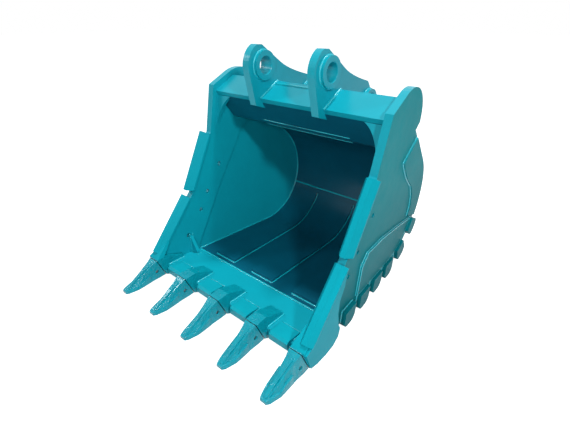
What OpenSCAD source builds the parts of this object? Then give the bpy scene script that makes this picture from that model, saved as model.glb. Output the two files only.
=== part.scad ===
// Heavy-duty rock bucket for an excavator, with pinned teeth.
// Frame: X across the bucket, Y from the teeth to the heel, Z up, in millimetres.
// Origin: the middle of the stick pin's axis, half way between the two ears.

/* [Bucket] */
// Width over the side bars at the mouth
bucket_w = 1100; // [1000:5:1200]
// Height of the stick pin above the ground that the bucket rests on
pin_h = 1128; // [1100:1:1160]
// Angle by which each side leans inwards behind its front edge, in degrees
side_taper = 5.7; // [4:0.1:7]
// Thickness of the side plates
side_t = 25; // [16:1:32]
// Thickness of the side bars along the front edge and the lobes
bar_t = 38; // [34:1:50]
// Thickness of the rolled floor and back plates
shell_t = 25; // [16:1:30]
// Outer radius of the heel
heel_r = 360; // [345:1:372]
// Distance of the heel's centre behind the stick pin
heel_y = 303; // [290:1:320]

/* [Top] */
// Distance of the top plate's front edge ahead of the stick pin
top_front = 27; // [15:1:40]
// Depth of the top plate's front edge below the stick pin
top_drop = 156; // [150:1:162]
// Horizontal run of the top plate from its front edge to the ridge
top_run = 131; // [120:1:140]
// Rise of the top plate from its front edge to the ridge
top_rise = 71; // [60:1:76]
// Thickness of the folded torque plate under the top plate
torque_t = 16; // [10:1:20]
// Depth of the torque plate's fold below the stick pin
torque_drop = 316; // [300:1:330]
// Leg of the mouth gussets along the top plate
gusset_w = 132; // [100:1:160]
// Leg of the mouth gussets along the side bars
gusset_h = 214; // [180:1:240]
// Thickness of the mouth gussets
gusset_t = 20; // [12:1:26]

/* [Ears] */
// Clear gap between the ears
ear_gap = 350; // [300:5:400]
// Thickness of each ear
ear_t = 40; // [30:1:50]
// Diameter of the stick pin bore
pin_d = 85; // [70:1:90]
// Outer diameter of the stick pin bosses
boss_d = 140; // [130:1:150]
// Distance of the link pin behind the stick pin
link_back = 377; // [374:1:386]
// Distance of the link pin below the stick pin
link_down = 176; // [170:1:180]
// Diameter of the link pin bore
link_d = 80; // [60:1:84]
// Outer diameter of the link pin bosses
link_boss_d = 120; // [110:1:128]
// Length by which each boss stands proud of the ear's face
boss_proud = 18; // [8:1:22]
// Chamfer at the mouth of each bore
bore_chamfer = 2; // [1:0.5:4]
// Radius of the ear's rounded head
ear_head_r = 105; // [98:1:110]

/* [Lip and floor] */
// Distance of the lip's front edge ahead of the stick pin
lip_front = 518; // [505:1:530]
// Length of the lip from its front edge to its weld to the floor
lip_l = 246; // [230:1:255]
// Thickness of the lip
lip_t = 45; // [40:1:50]
// Height of the lip's top above the floor's
lip_step = 14; // [10:1:18]
// Number of strips on the floor, inside and outside
strip_n = 3; // [2:1:3]
// Pitch of the strips
strip_pitch = 297; // [280:1:300]
// Width of each strip inside
liner_w = 156; // [120:1:180]
// Thickness of the strips inside
liner_t = 16; // [8:1:20]
// Width of each wear strip under the floor
wear_w = 100; // [60:1:140]
// Thickness of the wear strips and the heel shrouds
wear_t = 27; // [22:1:32]

/* [Teeth] */
// Distance of an end tooth's middle from the bucket's side
tooth_inset = 31; // [29:0.5:33]
// Reach of a tooth's point ahead of the lip
tooth_reach = 267; // [255:1:280]
// Width of a tooth at its root
tooth_w = 92; // [86:1:98]
// Width of a tooth's top face at its root
tooth_top_w = 64; // [58:1:70]
// Width of a tooth's point
point_w = 34; // [28:1:40]
// Height of a tooth's top face above the lip at the joint with the adapter
tooth_h = 54; // [50:1:58]
// Clearance between a tip's socket and the adapter's nose
nose_gap = 0.5; // [0.3:0.1:0.8]
// Gap between a tip's rear face and the adapter's shoulder
seam_gap = 2; // [1:0.5:4]
// Diameter of the lock pin
lock_d = 20; // [16:1:22]
// Radial running clearance of the lock pin in its hole
lock_gap = 0.1; // [0.05:0.01:0.1]
// Length of the lock pin
lock_l = 66; // [54:1:72]

/* [Wear parts] */
// Width of a lip shroud
lip_shroud_w = 108; // [90:1:120]
// Thickness of a lip shroud ahead of the lip
lip_shroud_t = 27; // [20:1:30]
// Depth of a side protector ahead of the side bar
guard_d = 46; // [38:1:52]
// Thickness of a side protector outside the side bar
guard_out = 24; // [16:1:28]
// Thickness of a side protector inside the side bar
guard_in = 7; // [4:1:12]
// Number of heel shrouds on each side
shroud_n = 6; // [4:1:6]
// Length of a heel shroud along the edge
shroud_l = 108; // [90:1:120]
// Pitch of the heel shrouds along the straight part of the edge
shroud_pitch = 161; // [150:1:168]
// Pitch of the heel shrouds around the heel, along the plate's face
shroud_arc_pitch = 184; // [170:1:190]
// Radius of a heel shroud's lower corners
shroud_r = 38; // [30:1:42]
// Height of a heel shroud's side leg
shroud_h = 76; // [60:1:90]
// Width of a heel shroud's leg under the floor
shroud_in = 90; // [60:1:110]
// Thickness of the side wear plates and doublers
plate_t = 12; // [8:1:16]
// Diameter of the bolt holes in the side bars
bolt_d = 26; // [20:1:30]

/* [Hidden] */
$fn = 96;

// Colours
paint = [0.06, 0.62, 0.68];
paint_dark = [0.05, 0.50, 0.57];
steel = [0.45, 0.47, 0.48];

// Room for cutting blocks, larger than the bucket
far = 2000;
tooth_n = 5;
tooth_pitch = (bucket_w - 2 * tooth_inset) / (tooth_n - 1);

// Heights
ground_z = -pin_h;
floor_out_z = ground_z + wear_t;
floor_z = floor_out_z + shell_t;
lip_top_z = floor_z + lip_step;
lip_low_z = lip_top_z - lip_t;

// Points of the side profile, each as [y, z]
top_edge = [-top_front, -top_drop];
ridge = top_edge + [top_run, top_rise];
heel_c = [heel_y, floor_out_z + heel_r];
lip_edge_y = -lip_front;
lip_seam_y = lip_edge_y + lip_l;

// The back plate leaves the ridge as a tangent to the heel's circle
ridge_dir = ridge - heel_c;
back_a = atan2(ridge_dir[1], ridge_dir[0]) - acos(heel_r / norm(ridge_dir));
function on_heel(r, a) = heel_c + r * [cos(a), sin(a)];
back_dir = [sin(back_a), -cos(back_a)];
back_n = [cos(back_a), sin(back_a)];
top_len = norm([top_run, top_rise]);
top_dir = [top_run, top_rise] / top_len;
top_n = [-top_dir[1], top_dir[0]];
top_low = top_edge - shell_t * top_n;
ridge_low = ridge - shell_t * (top_n + back_n) / (1 + top_n * back_n);
function back_out_z(y) = ridge[1] + (y - ridge[0]) * back_dir[1] / back_dir[0];
function back_in_y(z) = ridge_low[0] + (z - ridge_low[1]) * back_dir[0] / back_dir[1];

// Angle on the heel at which the floor plate is welded to the back plate
shell_seam_a = -24;

// Side bar: the lobe above the ridge, the front edge with its elbow, and the rear edge
lobe_r = 183;
lobe_c = ridge + [56, -145];
bar_top = top_edge + [-12, 31];
bar_step = top_edge + [-67, -220];
bar_elbow = [-257, ground_z + 442];
bar_toe = [-492, ground_z + 167];
bar_in_toe = [lip_seam_y, ground_z + 98];
bar_in_mid = [-66, ground_z + 443];
bar_in_top = top_edge + [152, -244];
notch = [lobe_c[0] + 145, back_out_z(lobe_c[0] + 145)];
lobe_touch = bar_top - lobe_c;
lobe_a0 = atan2(lobe_touch[1], lobe_touch[0]) - acos(lobe_r / norm(lobe_touch));

// Adapter and tooth, heights above the ground and distances from the lip's front edge
adapter_back = 118;
adapter_leg = 94;
adapter_low = 4;
seam_top_z = lip_top_z + tooth_h;
seam_top = [lip_edge_y - 64, seam_top_z];
seam_low = [lip_edge_y - 26, ground_z + 20];
seam_a = atan2(seam_low[0] - seam_top[0], seam_top[1] - seam_low[1]);
point_y = lip_edge_y - tooth_reach;
point_h = 14;
chin_y = point_y + 64;
lock_y = lip_edge_y - 75;
lock_z = ground_z + 57;
nose_end_y = lip_edge_y - 172;

// Side guards stand on the bar's front edge
guard_nose_in = 26;
guard_lap = 20;
function unit(v) = v / norm(v);
function ahead(d) = [d[1], -d[0]];
upper_dir = unit(bar_elbow - bar_step);
lower_dir = unit(bar_toe - bar_elbow);
bar_sole_z = seam_top_z + 4.5;
bar_sole = bar_toe + (bar_toe[1] - bar_sole_z) / -lower_dir[1] * lower_dir;

// A 2D profile drawn as [y, z], extruded across X from x0 to x1
module across(x0, x1) {
    translate([x0, 0, 0]) rotate([90, 0, 90]) linear_extrude(x1 - x0) children();
}

// Points of an arc about c, from a0 to a1 degrees in n steps
function arc(c, r, a0, a1, n) = [for (i = [0:n]) c + r * [cos(a0 + (a1 - a0) * i / n), sin(a0 + (a1 - a0) * i / n)]];

// Places children in the leaning plane of one side: x = 0 is its outer face, x < 0 is inside
module on_side(s) {
    lean = bar_step - bar_toe;
    mirror([s < 0 ? 1 : 0, 0, 0])
        translate([bucket_w / 2, bar_toe[0], bar_toe[1]])
            rotate(a = side_taper, v = [0, lean[0], lean[1]])
                children();
}

// The layer between x0 and x1 of a side's leaning plane
module layer(s, x0, x1) {
    on_side(s) translate([x0, -far, -far]) cube([x1 - x0, 2 * far, 2 * far]);
}

// A profile cut to a layer of one side
module side_piece(s, x0, x1) {
    intersection() {
        across(s < 0 ? -far : 0, s < 0 ? 0 : far) children();
        layer(s, x0, x1);
    }
}

// All that lies outside the bucket's inner side faces
module side_stock(s) {
    layer(s, 0, far);
    side_piece(s, -bar_t, far) polygon([
        [lip_seam_y, -far], bar_in_toe, bar_in_mid, bar_in_top, notch, notch + [0, far],
        [-far, far], [-far, lip_top_z], [lip_edge_y + adapter_back, lip_top_z],
        [lip_edge_y + adapter_back, -far]
    ]);
    side_piece(s, -side_t, far) polygon([
        [lip_seam_y, -far], [lip_seam_y, lip_top_z], [-far, lip_top_z], [-far, far], [far, far], [far, -far]
    ]);
}

// Cuts children off at the inner faces of both sides
module between_sides() {
    difference() {
        children();
        for (s = [-1, 1]) side_stock(s);
    }
}

// A sector of a ring about the heel's axis, from x0 to x1
module heel_sector(r0, r1, a0, a1, x0, x1) {
    translate([x0, heel_c[0], heel_c[1]]) rotate([90, 0, 90]) rotate([0, 0, a0])
        rotate_extrude(angle = a1 - a0) translate([r0, 0]) square([r1 - r0, x1 - x0]);
}

// A solid through four-cornered sections, each given as [y, low z, high z, low half, high half]
module loft(sections) {
    n = len(sections);
    points = [for (s = sections) each [
        [-s[3], s[0], s[1]], [s[3], s[0], s[1]], [s[4], s[0], s[2]], [-s[4], s[0], s[2]]
    ]];
    sides = [for (i = [0:n - 2], k = [0:3]) each [
        [4 * i + k, 4 * i + 4 + k, 4 * i + (k + 1) % 4],
        [4 * i + (k + 1) % 4, 4 * i + 4 + k, 4 * i + 4 + (k + 1) % 4]
    ]];
    ends = [[0, 1, 2], [0, 2, 3], [4 * n - 4, 4 * n - 2, 4 * n - 3], [4 * n - 4, 4 * n - 1, 4 * n - 2]];
    polyhedron(points, concat(sides, ends));
}

// Sides
module bar_outline() {
    lobe_end = notch - lobe_c;
    polygon(concat(
        [bar_step, bar_top],
        arc(lobe_c, lobe_r, lobe_a0, 0, 14),
        [notch, bar_in_top, bar_in_mid, bar_in_toe, [lip_seam_y, floor_out_z],
        [lip_edge_y + adapter_back, floor_out_z], [lip_edge_y + adapter_back, lip_top_z + 18],
        [lip_edge_y + 3, bar_sole[1]], bar_sole, bar_elbow]
    ));
}

function bolt_at(i) = [[-60, 556], [-165, 410], [-228, 310], [-340, 178]][i] + [0, ground_z];

module side_bar(s) {
    color(paint) difference() {
        side_piece(s, -bar_t, 0) bar_outline();
        for (i = [0:3])
            translate([0, bolt_at(i)[0], bolt_at(i)[1]]) rotate([0, 90 * s, 0]) cylinder(d = bolt_d, h = far);
    }
}

module shell_outline(grow = 0) {
    polygon([
        notch, on_heel(heel_r, back_a), heel_c, [heel_y, floor_out_z],
        [lip_seam_y, floor_out_z], bar_in_toe, bar_in_mid, bar_in_top
    ]);
}

module side_plate(s) {
    color(paint) intersection() {
        union() {
            across(s < 0 ? -far : 0, s < 0 ? 0 : far) shell_outline();
            heel_sector(0, heel_r, -100, back_a + 10, -far, far);
        }
        layer(s, -side_t, 0);
    }
}

// Shell
module floor_plate() {
    color(paint_dark) between_sides() {
        across(-far / 2, far / 2) polygon([
            [lip_seam_y, floor_out_z], [heel_y, floor_out_z], [heel_y, floor_z], [lip_seam_y, floor_z]
        ]);
        heel_sector(heel_r - shell_t, heel_r, -90, shell_seam_a, -far / 2, far / 2);
    }
}

module back_plate() {
    color(paint_dark) between_sides() {
        heel_sector(heel_r - shell_t, heel_r, shell_seam_a, back_a, -far / 2, far / 2);
        across(-far / 2, far / 2) polygon([
            ridge, on_heel(heel_r, back_a), on_heel(heel_r - shell_t, back_a), ridge_low
        ]);
    }
}

module top_plate() {
    color(paint_dark) between_sides()
        across(-far / 2, far / 2) polygon([top_edge, ridge, ridge_low, top_low]);
}

module torque_plate() {
    fold = [66, -torque_drop + 26];
    face_dir = (fold - top_low) / norm(fold - top_low);
    face_n = [-face_dir[1], face_dir[0]];
    low_z = -torque_drop;
    color(paint_dark) between_sides()
        across(-far / 2, far / 2) polygon([
            top_low, fold, fold + [10, -14], fold + [30, -26], [back_in_y(low_z), low_z],
            [back_in_y(low_z + torque_t), low_z + torque_t], fold + [34, -26 + torque_t],
            fold + torque_t * face_n, top_low + torque_t * 1.01 * top_dir
        ]);
}

// The zone on and behind the torque plate's face
module torque_zone() {
    across(-far, far) polygon([
        top_edge, top_low, [66, -torque_drop + 26], [far, -torque_drop + 26], [far, far], [top_edge[0], far]
    ]);
}

module lip_plate() {
    color(paint) between_sides()
        across(-far / 2, far / 2) polygon([
            [lip_edge_y, lip_low_z], [lip_seam_y - 14, lip_low_z], [lip_seam_y, floor_out_z],
            [lip_seam_y, floor_z], [lip_seam_y - 18, lip_top_z], [lip_edge_y, lip_top_z]
        ]);
}

// Ears
ear_in = ear_gap / 2;
ear_out = ear_in + ear_t;
link_at = [link_back, -link_down];
ear_foot = [-60, -top_drop - 31];
ear_brow = [-8, ear_head_r - 11];
ear_neck = [130, 6];
ear_dip = [195, -36];
ear_tail = [link_back - 21, -76];
ear_back = [link_back + 21, -127];
ear_heel = [link_back + link_boss_d / 2 + 6, -link_down - 12];
ear_sole_y = link_back + 48;

// A curve from a to b that leaves a towards c and reaches b from c
function bend(a, c, b, n) = [for (i = [0:n]) let (t = i / n) (1 - t) * (1 - t) * a + 2 * t * (1 - t) * c + t * t * b];

module ear(s) {
    head_a = 114;
    color(paint) difference() {
        across(s > 0 ? ear_in : -ear_out, s > 0 ? ear_out : -ear_in) polygon(concat(
            [ear_foot],
            arc([0, 0], ear_head_r, 188, head_a, 10), [ear_brow],
            bend(ear_neck, ear_dip, ear_tail, 6),
            [ear_tail + [14, -14], ear_back, ear_heel, [ear_heel[0] - 4, ear_heel[1] - 40],
            [ear_sole_y, back_out_z(ear_sole_y)], ridge, top_edge, top_low, top_low + [22, -31]]
        ));
        translate([-far, 0, 0]) rotate([0, 90, 0]) cylinder(d = boss_d, h = 2 * far);
        translate([-far, link_at[0], link_at[1]]) rotate([0, 90, 0]) cylinder(d = link_boss_d, h = 2 * far);
    }
}

// A boss through one ear, bored and chamfered, standing proud on both faces
module boss(s, at, d_out, d_in) {
    l = ear_t + 2 * boss_proud;
    color(paint) translate([s > 0 ? ear_in - boss_proud : -ear_out - boss_proud, at[0], at[1]]) rotate([0, 90, 0])
        difference() {
            cylinder(d = d_out, h = l);
            translate([0, 0, -1]) cylinder(d = d_in, h = l + 2);
            for (end = [0, 1])
                translate([0, 0, end * l]) mirror([0, 0, end]) translate([0, 0, -0.01])
                    cylinder(d1 = d_in + 2 * bore_chamfer, d2 = d_in, h = bore_chamfer);
        }
}

// Gussets
module mouth_gusset(s) {
    lean = atan2(bar_top[0] - bar_step[0], bar_top[1] - bar_step[1]);
    inner = bucket_w / 2 - bar_t;
    color(paint) intersection() {
        difference() {
            translate([0, top_low[0] + 4, top_low[1] + 6]) rotate([90 - lean, 0, 0])
                translate([0, 0, -gusset_t]) linear_extrude(gusset_t)
                    mirror([s < 0 ? 1 : 0, 0]) polygon(concat(
                        [[inner + 60, 20], [inner - gusset_w, 20]],
                        [for (i = [0:12]) [inner - gusset_w * (1 - sin(i * 7.5)), -gusset_h * (1 - cos(i * 7.5))]],
                        [[inner + 60, -gusset_h]]
                    ));
            torque_zone();
            side_stock(s);
        }
        translate([s > 0 ? 0 : -far, -far, -far]) cube([far, 2 * far, 2 * far]);
    }
}

module lip_gusset(s) {
    inner = bucket_w / 2 - bar_t;
    color(paint) difference() {
        translate([0, lip_seam_y - 60, 0]) rotate([90, 0, 0]) translate([0, 0, -20]) linear_extrude(20)
            mirror([s < 0 ? 1 : 0, 0]) polygon([
                [inner + 20, lip_top_z], [inner + 20, lip_top_z + 120], [inner - 4, lip_top_z + 120],
                [inner - 66, lip_top_z + 14], [inner - 66, lip_top_z]
            ]);
        side_stock(s);
    }
}

// Strips inside and under the floor
function strip_x(i) = (i - (strip_n - 1) / 2) * strip_pitch;

module floor_liners() {
    start_y = lip_seam_y + 34;
    color(paint_dark) for (i = [0:strip_n - 1]) translate([strip_x(i) - liner_w / 2, 0, 0]) {
        across(0, liner_w) polygon([
            [start_y, floor_z], [heel_y, floor_z], [heel_y, floor_z + liner_t], [start_y + 6, floor_z + liner_t]
        ]);
        heel_sector(heel_r - shell_t - liner_t, heel_r - shell_t, -90, shell_seam_a - 6, 0, liner_w);
    }
}

module bottom_wear_strips() {
    start_y = lip_seam_y + 20;
    color(paint) for (i = [0:strip_n - 1]) translate([strip_x(i) - wear_w / 2, 0, 0]) {
        across(0, wear_w) polygon([
            [start_y, floor_out_z], [start_y + wear_t, ground_z], [heel_y, ground_z], [heel_y, floor_out_z]
        ]);
        heel_sector(heel_r, heel_r + wear_t, -90, -34, 0, wear_w);
    }
}

// Teeth
function tooth_x(i) = (i - (tooth_n + 1) / 2) * tooth_pitch;

// The half space ahead of the slanted joint between tip and adapter, moved ahead by gap
module ahead_of_seam(gap) {
    translate([0, seam_top[0] - gap / cos(seam_a), seam_top[1]]) rotate([seam_a, 0, 0])
        translate([-far / 4, -far, -far]) cube([far / 2, far, 2 * far]);
}

module nose(gap) {
    wall = 13 - gap;
    root_y = lip_edge_y - 30;
    loft([
        [root_y, ground_z + 20 + wall, seam_top_z - wall + 6, tooth_w / 2 - wall, tooth_top_w / 2 - wall + 2],
        [nose_end_y - gap, ground_z + 8 + wall, ground_z + 61 - wall, 26 + gap, 15 + gap]
    ]);
}

module adapter_body(i) {
    half = tooth_w / 2 + 2;
    low_z = ground_z + adapter_low;
    translate([tooth_x(i), 0, 0]) intersection() {
        across(-half, half) polygon([
            [lip_edge_y + adapter_back, lip_top_z], [lip_edge_y + adapter_back - 4, lip_top_z + 16],
            [lip_edge_y + 3, seam_top_z + 3], seam_top - [0, 1], seam_low,
            [lip_edge_y + 3, low_z], [lip_edge_y + adapter_leg - 16, low_z],
            [lip_edge_y + adapter_leg, lip_low_z], [lip_edge_y, lip_low_z], [lip_edge_y, lip_top_z]
        ]);
        translate([0, lip_edge_y + adapter_back + 20, 0]) rotate([90, 0, 0])
            linear_extrude(adapter_back + 140) polygon([
                [-half, low_z - 10], [half, low_z - 10], [half, ground_z + 20],
                [tooth_top_w / 2, seam_top_z + 8], [-tooth_top_w / 2, seam_top_z + 8], [-half, ground_z + 20]
            ]);
    }
}

module adapter(i) {
    color(paint) difference() {
        union() {
            adapter_body(i);
            translate([tooth_x(i), 0, 0]) nose(0);
        }
        translate([tooth_x(i), 0, 0]) lock_hole();
    }
}

module lock_hole() {
    translate([-tooth_w, lock_y, lock_z]) rotate([0, 90, 0]) cylinder(d = lock_d + 2 * lock_gap, h = 2 * tooth_w);
}

module tip(i) {
    drop = (seam_top_z - ground_z - point_h) / (seam_top[0] - point_y);
    function top_z(y) = seam_top_z + (y - seam_top[0]) * drop;
    function low_z(y) = ground_z + 22 * (y - point_y) / (lip_edge_y - point_y);
    half = tooth_w / 2;
    top_half = tooth_top_w / 2;
    wing = half - 3;
    neck_y = seam_top[0] - 34;
    shoulder_y = seam_top[0] - 58;
    color(paint) translate([tooth_x(i), 0, 0]) difference() {
        union() {
            loft([
                [lip_edge_y, low_z(lip_edge_y), top_z(lip_edge_y), half, top_half],
                [seam_top[0], low_z(seam_top[0]), seam_top_z, half, top_half],
                [neck_y, low_z(neck_y), top_z(neck_y) - 2, half - 3, top_half - 8],
                [shoulder_y - 30, low_z(shoulder_y - 30), top_z(shoulder_y - 30) - 6, half - 6, top_half - 12],
                [chin_y, low_z(chin_y), top_z(chin_y) - 8, half - 8, point_w / 2],
                [point_y + 6, low_z(point_y + 6), ground_z + point_h - 2, point_w / 2 - 2, point_w / 2 - 3]
            ]);
            loft([
                [shoulder_y, low_z(shoulder_y), top_z(shoulder_y) - 34, wing, wing - 4],
                [chin_y + 30, low_z(chin_y + 30), top_z(chin_y + 30) - 30, wing, wing - 5],
                [chin_y, low_z(chin_y), top_z(chin_y) - 27, wing - 1, wing - 6],
                [chin_y - 28, low_z(chin_y - 28), top_z(chin_y - 28) - 14, wing - 9, wing - 14],
                [chin_y - 50, low_z(chin_y - 50), ground_z + point_h + 3, (wing + point_w / 2) / 2 - 2, wing / 2],
                [point_y, ground_z, ground_z + point_h, point_w / 2, point_w / 2 - 2]
            ]);
            loft([
                [seam_top[0] - 20, top_z(seam_top[0]) - 40, top_z(seam_top[0] - 20), 19, 14],
                [shoulder_y - 20, top_z(shoulder_y) - 30, top_z(shoulder_y - 20) + 4, 16, 10],
                [chin_y, top_z(chin_y) - 24, top_z(chin_y) + 1, 13, 8],
                [point_y + 12, ground_z + 4, ground_z + point_h + 4, 11, 7]
            ]);
        }
        difference() {
            translate([-far / 4, -far, -far]) cube([far / 2, 2 * far, 2 * far]);
            ahead_of_seam(seam_gap);
        }
        nose(nose_gap);
        lock_hole();
    }
}

module lock_pin(i) {
    color(steel) translate([tooth_x(i) - lock_l / 2, lock_y, lock_z]) rotate([0, 90, 0]) cylinder(d = lock_d, h = lock_l);
}

// Lip shrouds between the adapters
module lip_shroud(i) {
    x = (i - tooth_n / 2) * tooth_pitch;
    front_y = lip_edge_y - lip_shroud_t;
    color(paint) across(x - lip_shroud_w / 2, x + lip_shroud_w / 2) polygon([
        [lip_edge_y + 78, lip_top_z], [lip_edge_y + 63, lip_top_z + 15], [front_y + 13, lip_top_z + 18],
        [front_y, lip_top_z + 7], [front_y, lip_low_z + 19], [front_y + 15, lip_low_z],
        [lip_edge_y, lip_low_z], [lip_edge_y, lip_top_z]
    ]);
}

// A guard on the bar's front edge between two points of that edge, with its narrow nose from front to tail
module guard_bar(s, from, to, front, tail) {
    foot = 0.25;
    hull() {
        side_piece(s, -bar_t - guard_in, guard_out)
            polygon([from, to, to + foot * (tail - to), from + foot * (front - from)]);
        side_piece(s, -guard_nose_in, -1) polygon([from, to, tail, front]);
    }
}

module upper_guard(s) {
    dir = upper_dir;
    from = bar_step + 12 * dir;
    over = 6 * ahead(dir);
    lap = guard_lap * ahead(dir);
    color(paint) union() {
        guard_bar(s, from, bar_elbow, from + guard_d * ahead(dir), bar_elbow + 12 * dir + guard_d * ahead(dir));
        side_piece(s, 0, guard_out - 8) polygon([from + over, bar_elbow + over, bar_elbow - lap, from - lap]);
    }
}

// The lower guard also wraps the bucket's corner outside the end adapter and flares onto the adapter's top
module lower_guard(s) {
    dir = lower_dir;
    start = bar_elbow + 50 * dir;
    depth = 0.85 * guard_d;
    over = 12 * ahead(dir);
    flank = [
        start + over, [-302, ground_z + 406], [-316, ground_z + 323], [-345, ground_z + 266],
        [-350, ground_z + 198], [-338, ground_z + 125], [-322, ground_z + 93], [-332, ground_z + 50],
        [-370, ground_z + 20], [lip_edge_y + 88, ground_z + 8], [lip_edge_y + 27, ground_z + 6],
        [seam_low[0] + 6, ground_z + 16], [seam_top[0] + 7, seam_top_z - 4], bar_sole + over
    ];
    flare_w = tooth_w / 2 + 30;
    color(paint) difference() {
        union() {
            guard_bar(s, start, bar_sole, start + depth * ahead(dir), bar_sole + depth * ahead(dir));
            intersection() {
                side_piece(s, 0, 3 * guard_out) polygon(flank);
                mirror([s < 0 ? 1 : 0, 0, 0]) translate([0, -far, -far])
                    cube([bucket_w / 2 + guard_out - 1, 2 * far, 2 * far]);
            }
            hull() {
                side_piece(s, -guard_nose_in - 4, -4) polygon([
                    bar_toe - 105 * dir, bar_toe - 75 * dir, bar_toe - 85 * dir + 0.5 * over,
                    bar_toe - 105 * dir + 0.5 * over
                ]);
                mirror([s < 0 ? 1 : 0, 0, 0])
                    across(tooth_x(tooth_n) - tooth_top_w / 2, tooth_x(tooth_n) - tooth_top_w / 2 + flare_w)
                        polygon([
                            bar_sole - [1, 0], [seam_top[0] + 8, seam_top_z], [seam_top[0] + 10, seam_top_z - 4],
                            bar_sole + 10 * dir
                        ]);
            }
        }
        adapter_body(s > 0 ? tooth_n : 1);
    }
}

// Heel shrouds: a point of the lower edge at path length p, moved out by off
shroud_start = lip_seam_y + 91;
function edge_at(p, off) = p < heel_y
    ? [p, floor_out_z - off]
    : on_heel(heel_r + off, (p - heel_y) / heel_r * 180 / PI - 90);

// Its outline from inner above the edge to wear_t below it, with rounded lower corners
module shroud_profile(p, inner) {
    half = shroud_l / 2;
    low = wear_t - shroud_r;
    corner = [for (i = [0:6]) shroud_r * [1 - cos(15 * i), sin(15 * i)]];
    polygon(concat(
        [for (c = corner) edge_at(p - half + c[0], low + c[1])],
        [for (k = [-1:1]) edge_at(p + k * (half - shroud_r) / 2, wear_t)],
        [for (i = [6:-1:0]) edge_at(p + half - corner[i][0], low + corner[i][1])],
        [for (k = [4:-1:-4]) edge_at(p + k * half / 4, -inner)]
    ));
}

module heel_shrouds(s) {
    color(paint) for (i = [0:shroud_n - 1]) {
        p = shroud_start + min(i, 3) * shroud_pitch + max(i - 3, 0) * shroud_arc_pitch;
        side_piece(s, 0, wear_t) shroud_profile(p, shroud_h);
        difference() {
            side_piece(s, -shroud_in, 0) shroud_profile(p, shroud_r);
            across(-far, far) polygon([
                [-far, floor_out_z], [heel_y, floor_out_z], heel_c, [-far, heel_c[1]]
            ]);
            heel_sector(0, heel_r, -100, 20, -far, far);
        }
    }
}

// Plates on the outside of the sides
module side_wear_plate(s) {
    gap = shroud_h + 8;
    color(paint) side_piece(s, 0, plate_t) polygon(concat(
        [[-96, edge_at(0, -gap)[1]], [-96, ground_z + 290], [-47, ground_z + 347], [120, ground_z + 344],
        [338, ground_z + 314]],
        [for (k = [0:10]) edge_at(heel_y + heel_r * PI / 180 * (66 - 6.6 * k), -gap)]
    ));
}

module rear_doubler(s) {
    back_line = notch + 60 * back_dir;
    color(paint) side_piece(s, 0, plate_t - 2) polygon(concat(
        [back_line - 8 * back_n, [214, ground_z + 724], [255, ground_z + 675], [320, ground_z + 611],
        [430, ground_z + 527], [484, ground_z + 451], [503, ground_z + 380], [496, ground_z + 318]],
        arc(heel_c, heel_r - 8, -20, back_a, 12)
    ));
}

side_bar(-1);  // side_bar_left
side_bar(1);  // side_bar_right
side_plate(-1);  // side_plate_left
side_plate(1);  // side_plate_right
floor_plate();
back_plate();
top_plate();
torque_plate();
lip_plate();
ear(-1);  // ear_left
ear(1);  // ear_right
boss(-1, [0, 0], boss_d, pin_d);  // stick_boss_left
boss(1, [0, 0], boss_d, pin_d);  // stick_boss_right
boss(-1, link_at, link_boss_d, link_d);  // link_boss_left
boss(1, link_at, link_boss_d, link_d);  // link_boss_right
mouth_gusset(-1);  // mouth_gusset_left
mouth_gusset(1);  // mouth_gusset_right
lip_gusset(-1);  // lip_gusset_left
lip_gusset(1);  // lip_gusset_right
floor_liners();
bottom_wear_strips();
adapter(1);  // adapter_1
adapter(2);  // adapter_2
adapter(3);  // adapter_3
adapter(4);  // adapter_4
adapter(5);  // adapter_5
tip(1);  // tip_1
tip(2);  // tip_2
tip(3);  // tip_3
tip(4);  // tip_4
tip(5);  // tip_5
lock_pin(1);  // lock_pin_1
lock_pin(2);  // lock_pin_2
lock_pin(3);  // lock_pin_3
lock_pin(4);  // lock_pin_4
lock_pin(5);  // lock_pin_5
lip_shroud(1);  // lip_shroud_1
lip_shroud(2);  // lip_shroud_2
lip_shroud(3);  // lip_shroud_3
lip_shroud(4);  // lip_shroud_4
upper_guard(-1);  // upper_guard_left
upper_guard(1);  // upper_guard_right
lower_guard(-1);  // lower_guard_left
lower_guard(1);  // lower_guard_right
heel_shrouds(-1);  // heel_shrouds_left
heel_shrouds(1);  // heel_shrouds_right
side_wear_plate(-1);  // side_wear_plate_left
side_wear_plate(1);  // side_wear_plate_right
rear_doubler(-1);  // rear_doubler_left
rear_doubler(1);  // rear_doubler_right
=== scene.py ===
"""Paint, welds, light and camera for an excavator rock bucket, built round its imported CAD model."""

import logging
import math
from dataclasses import dataclass, field
from enum import Enum
from typing import Iterable, Sequence

import bpy
from mathutils import Matrix, Vector


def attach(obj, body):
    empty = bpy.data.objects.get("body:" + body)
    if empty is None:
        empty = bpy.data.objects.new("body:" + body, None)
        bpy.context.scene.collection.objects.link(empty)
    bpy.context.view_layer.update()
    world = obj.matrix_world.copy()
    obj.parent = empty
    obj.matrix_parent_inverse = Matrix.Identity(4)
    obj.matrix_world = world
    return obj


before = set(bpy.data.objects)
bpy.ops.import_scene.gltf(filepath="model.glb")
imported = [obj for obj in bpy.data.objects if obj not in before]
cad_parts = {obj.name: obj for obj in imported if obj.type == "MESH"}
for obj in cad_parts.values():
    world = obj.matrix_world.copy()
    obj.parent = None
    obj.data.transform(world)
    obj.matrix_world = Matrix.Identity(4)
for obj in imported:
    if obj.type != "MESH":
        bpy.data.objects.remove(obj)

log = logging.getLogger("bucket")

MM = 0.001
BODY = "bucket"
LEFT, RIGHT = -1, 1
ARC_STEP = 6  # degrees between the points of an arc

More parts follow.
